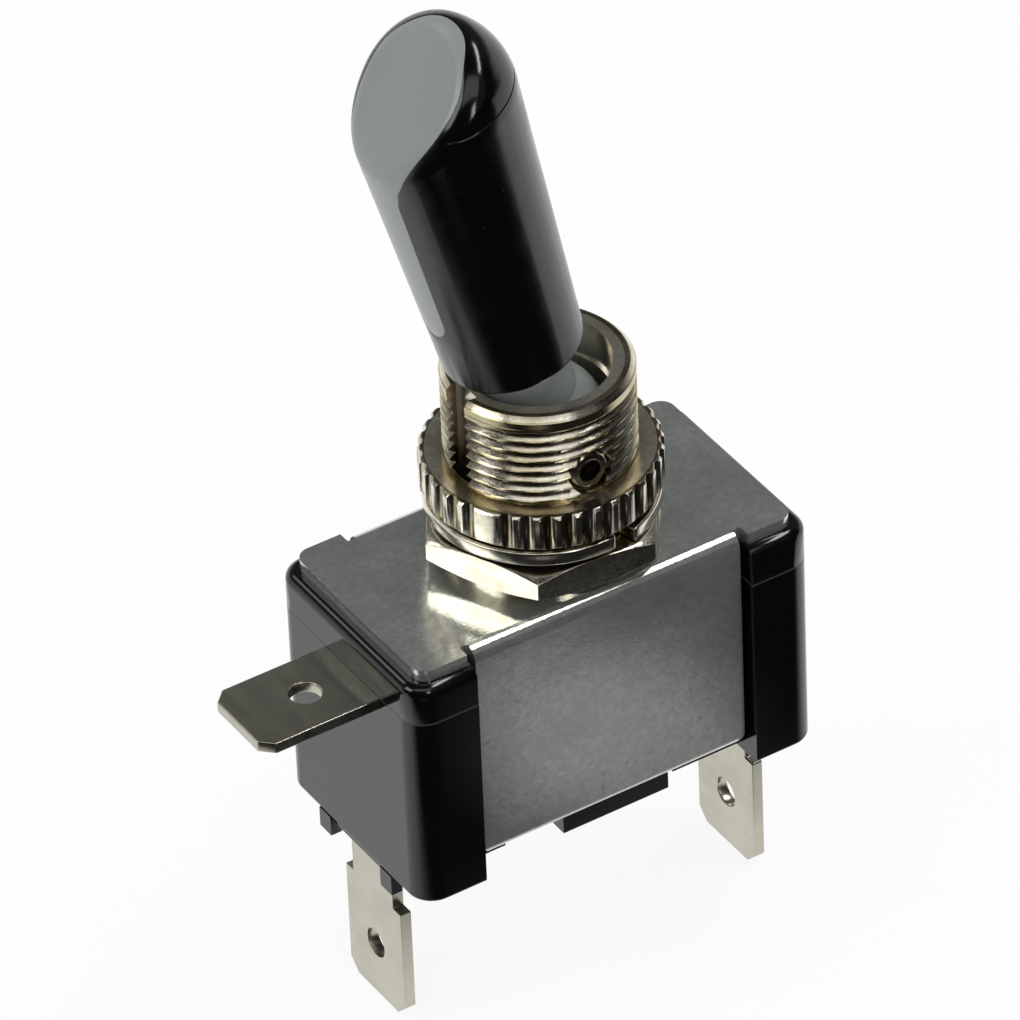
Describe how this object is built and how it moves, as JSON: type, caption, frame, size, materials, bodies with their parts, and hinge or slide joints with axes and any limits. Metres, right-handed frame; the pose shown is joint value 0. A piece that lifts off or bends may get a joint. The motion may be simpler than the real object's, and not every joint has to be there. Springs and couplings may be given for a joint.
{
  "type": "panel toggle switch",
  "caption": "Panel toggle switch with a black lever and grey lens, threaded bushing with nuts, steel-wrapped body and blade terminals.",
  "frame": {"origin": "on the bushing's axis where its bare thread leaves the face nut", "axes": "+Z along the bushing toward the lever, +X away from the side terminal, +Y completes the set"},
  "size_m": [0.0374, 0.0158, 0.0709],
  "materials": {
    "zinc_steel": "satin zinc plate",
    "nickel_brass": "bright nickel plate",
    "black_body": "moulded gloss",
    "tinned_brass": "satin tin plate",
    "silver_contact": "satin silver",
    "contact_copper": "bare copper alloy",
    "black_lever": "satin moulded",
    "grey_lens": "satin translucent",
    "milky_core": "translucent moulded",
    "bare_brass": "turned",
    "spring_steel": "drawn wire",
    "lamp_resin": "clear resin",
    "resistor_body": "lacquer",
    "tinned_lead": "tinned wire"
  },
  "bodies": {
    "switch": {"mounting_frame": "zinc_steel", "bushing": "nickel_brass", "hex_nut": "nickel_brass", "lock_washer": "nickel_brass", "face_nut": "nickel_brass", "pivot_pin": "nickel_brass", "housing_cover": "black_body", "housing_base": "black_body", "supply_terminal": "tinned_brass", "load_terminal": "tinned_brass", "ground_terminal": "tinned_brass", "supply_contact": "silver_contact"},
    "lever": {"lever_core": "milky_core", "lever_sleeve": "black_lever", "lever_lens": "grey_lens", "spring_cap": "bare_brass", "plunger_spring": "spring_steel", "led": "lamp_resin", "led_resistor": "resistor_body", "ground_lead": "tinned_lead", "feed_lead": "tinned_lead"},
    "plunger": {"plunger": "bare_brass"},
    "rocker": {"rocker_contact": "contact_copper", "rocker_button": "silver_contact"}
  },
  "joints": [
    {"name": "lever_swing", "type": "hinge", "parent": "switch", "child": "lever", "pos_m": [0, 0, 0.00145], "axis": [0, 1, 0], "range_deg": [0, 27.6]},
    {"name": "plunger_slide", "type": "slide", "parent": "lever", "child": "plunger", "axis": [-0.2385, 0, 0.9711], "range_m": [0, 0.0005], "stiffness_N_per_m": 400, "springref_m": -0.002, "deforming": ["plunger_spring"]},
    {"name": "rocker_tilt", "type": "hinge", "parent": "switch", "child": "rocker", "pos_m": [0, 0, -0.01595], "axis": [0, 1, 0], "range_deg": [-24, 0]}
  ],
  "couplings": [
    {"joint": "rocker_tilt", "follows": "lever_swing", "ratio": -0.8695}
  ]
}
